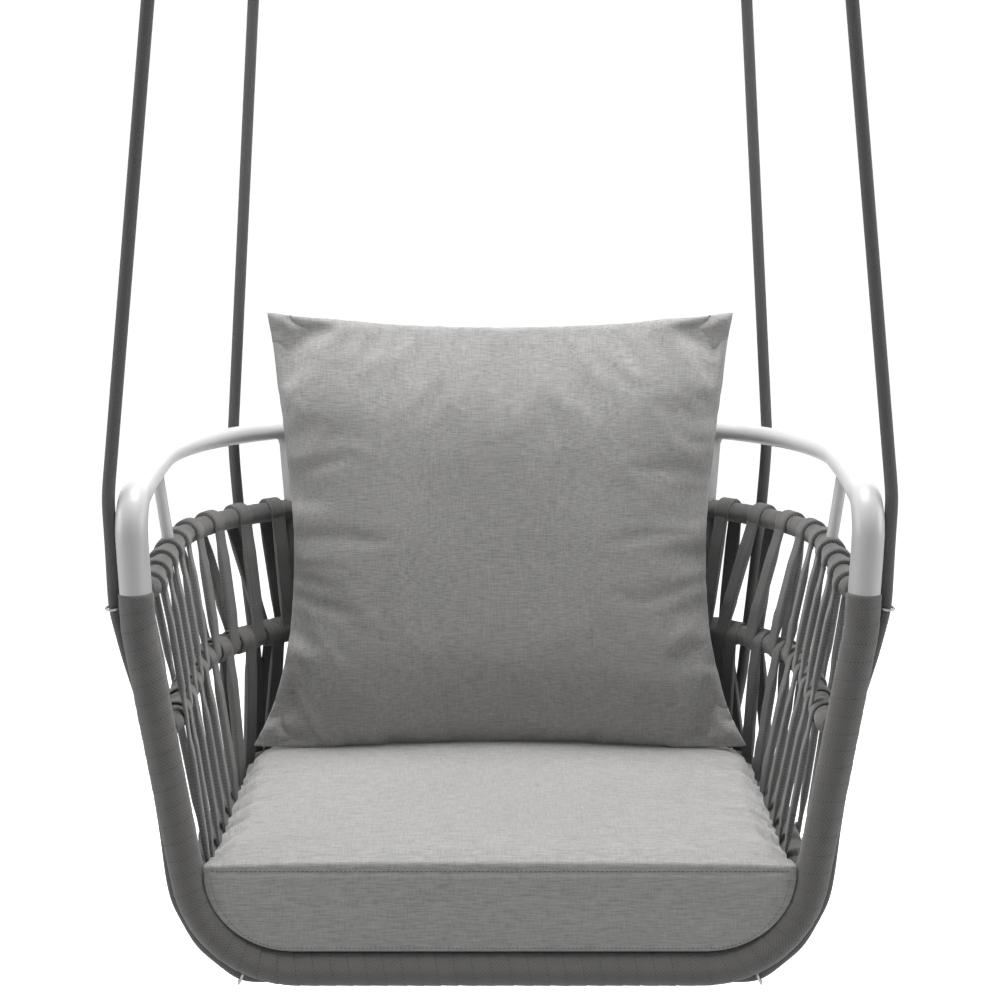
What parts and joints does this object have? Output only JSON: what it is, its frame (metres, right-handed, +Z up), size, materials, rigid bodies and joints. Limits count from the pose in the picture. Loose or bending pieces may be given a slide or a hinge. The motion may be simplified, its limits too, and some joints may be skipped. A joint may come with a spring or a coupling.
{
  "type": "porch swing",
  "caption": "Hanging porch swing seat: white tubular tub frame wound with grey belt, woven open sides, seat cushion and back pillow, four rope lines up to ceiling eye plates.",
  "frame": {"origin": "centre of the four ceiling plates' top faces, in the ceiling plane", "axes": "+X to the right as a viewer in front sees the seat, +Y from the seat's front to its back, +Z up"},
  "size_m": [0.9036, 0.6721, 1.3478],
  "materials": {
    "stainless": "satin",
    "rope": "matte",
    "belt": "matte",
    "cushion_fabric": "matte",
    "padding": "matte",
    "zip": "matte",
    "white_coating": "satin"
  },
  "bodies": {
    "ceiling_mounts": {"ceiling_plate_front_left": "stainless", "ceiling_plate_front_right": "stainless", "ceiling_plate_rear_left": "stainless", "ceiling_plate_rear_right": "stainless", "ceiling_eyes": "stainless"},
    "front_ropes": {"front_carabiners": "stainless", "front_gate_pins": "stainless", "front_thimbles": "stainless", "front_rope_eyes": "rope", "front_ferrules": "stainless", "front_rope_left": "rope", "front_rope_right": "rope"},
    "rear_ropes": {"rear_carabiners": "stainless", "rear_gate_pins": "stainless", "rear_thimbles": "stainless", "rear_rope_eyes": "rope", "rear_ferrules": "stainless", "rear_rope_left": "rope", "rear_rope_right": "rope"},
    "seat": {"front_hoop": "white_coating", "arm_rail": "white_coating", "upper_rail": "white_coating", "middle_rail": "white_coating", "seat_rail": "white_coating", "arm_posts": "white_coating", "rear_uprights": "white_coating", "seat_ribs": "white_coating", "hoop_wrap": "belt", "upper_rail_wrap": "belt", "middle_rail_wrap": "belt", "seat_rail_wrap": "belt", "upright_wrap": "belt", "inner_straps_left": "belt", "outer_straps_left": "belt", "inner_straps_right": "belt", "outer_straps_right": "belt", "inner_straps_back": "belt", "outer_straps_back": "belt", "deck_cross_belts": "belt", "deck_length_belts": "belt", "upper_rope_rings": "stainless", "lower_rope_rings": "stainless", "rear_rope_rings": "stainless", "front_sling": "rope", "rear_sling": "rope"},
    "seat_cushion": {"seat_cover": "cushion_fabric", "seat_foam": "padding", "seat_zip": "zip"},
    "back_cushion": {"pillow_cover": "cushion_fabric", "pillow_fill": "padding", "pillow_zip": "zip"},
    "gate_front_left_body": {"gate_front_left": "stainless"},
    "gate_front_right_body": {"gate_front_right": "stainless"},
    "gate_rear_left_body": {"gate_rear_left": "stainless"},
    "gate_rear_right_body": {"gate_rear_right": "stainless"}
  },
  "joints": [
    {"name": "front_swing", "type": "hinge", "parent": "ceiling_mounts", "child": "front_ropes", "pos_m": [0, -0.251, -0.029], "axis": [1, 0, 0], "range_deg": [-20, 20]},
    {"name": "seat_swing", "type": "hinge", "parent": "front_ropes", "child": "seat", "pos_m": [0, -0.251, -0.764], "axis": [1, 0, 0], "range_deg": [-20, 20]},
    {"name": "rear_swing", "type": "hinge", "parent": "ceiling_mounts", "child": "rear_ropes", "pos_m": [0, 0.251, -0.029], "axis": [1, 0, 0], "range_deg": [-20, 20]},
    {"name": "gate_front_left_pivot", "type": "hinge", "parent": "front_ropes", "child": "gate_front_left_body", "pos_m": [-0.36707, -0.265, -0.06598], "axis": [-0.994, 0, 0.1095], "range_deg": [0, 22], "stiffness_Nm_per_rad": 0.02, "springref_deg": -11.46},
    {"name": "gate_front_right_pivot", "type": "hinge", "parent": "front_ropes", "child": "gate_front_right_body", "pos_m": [0.36707, -0.265, -0.06598], "axis": [-0.994, 0, -0.1095], "range_deg": [0, 22], "stiffness_Nm_per_rad": 0.02, "springref_deg": -11.46},
    {"name": "gate_rear_left_pivot", "type": "hinge", "parent": "rear_ropes", "child": "gate_rear_left_body", "pos_m": [-0.3145, 0.237, -0.06612], "axis": [-0.9977, 0, 0.0672], "range_deg": [0, 22], "stiffness_Nm_per_rad": 0.02, "springref_deg": -11.46},
    {"name": "gate_rear_right_pivot", "type": "hinge", "parent": "rear_ropes", "child": "gate_rear_right_body", "pos_m": [0.3145, 0.237, -0.06612], "axis": [-0.9977, 0, -0.0672], "range_deg": [0, 22], "stiffness_Nm_per_rad": 0.02, "springref_deg": -11.46},
    {"name": "seat_cushion_pull", "type": "slide", "parent": "seat", "child": "seat_cushion", "axis": [0, -1, 0], "range_m": [0, 0.45]},
    {"name": "back_cushion_lift", "type": "slide", "parent": "seat", "child": "back_cushion", "axis": [0, 0, 1], "range_m": [0, 0.45]}
  ],
  "couplings": [
    {"joint": "front_swing", "follows": "seat_swing", "ratio": -1},
    {"joint": "rear_swing", "follows": "seat_swing", "ratio": -1}
  ]
}
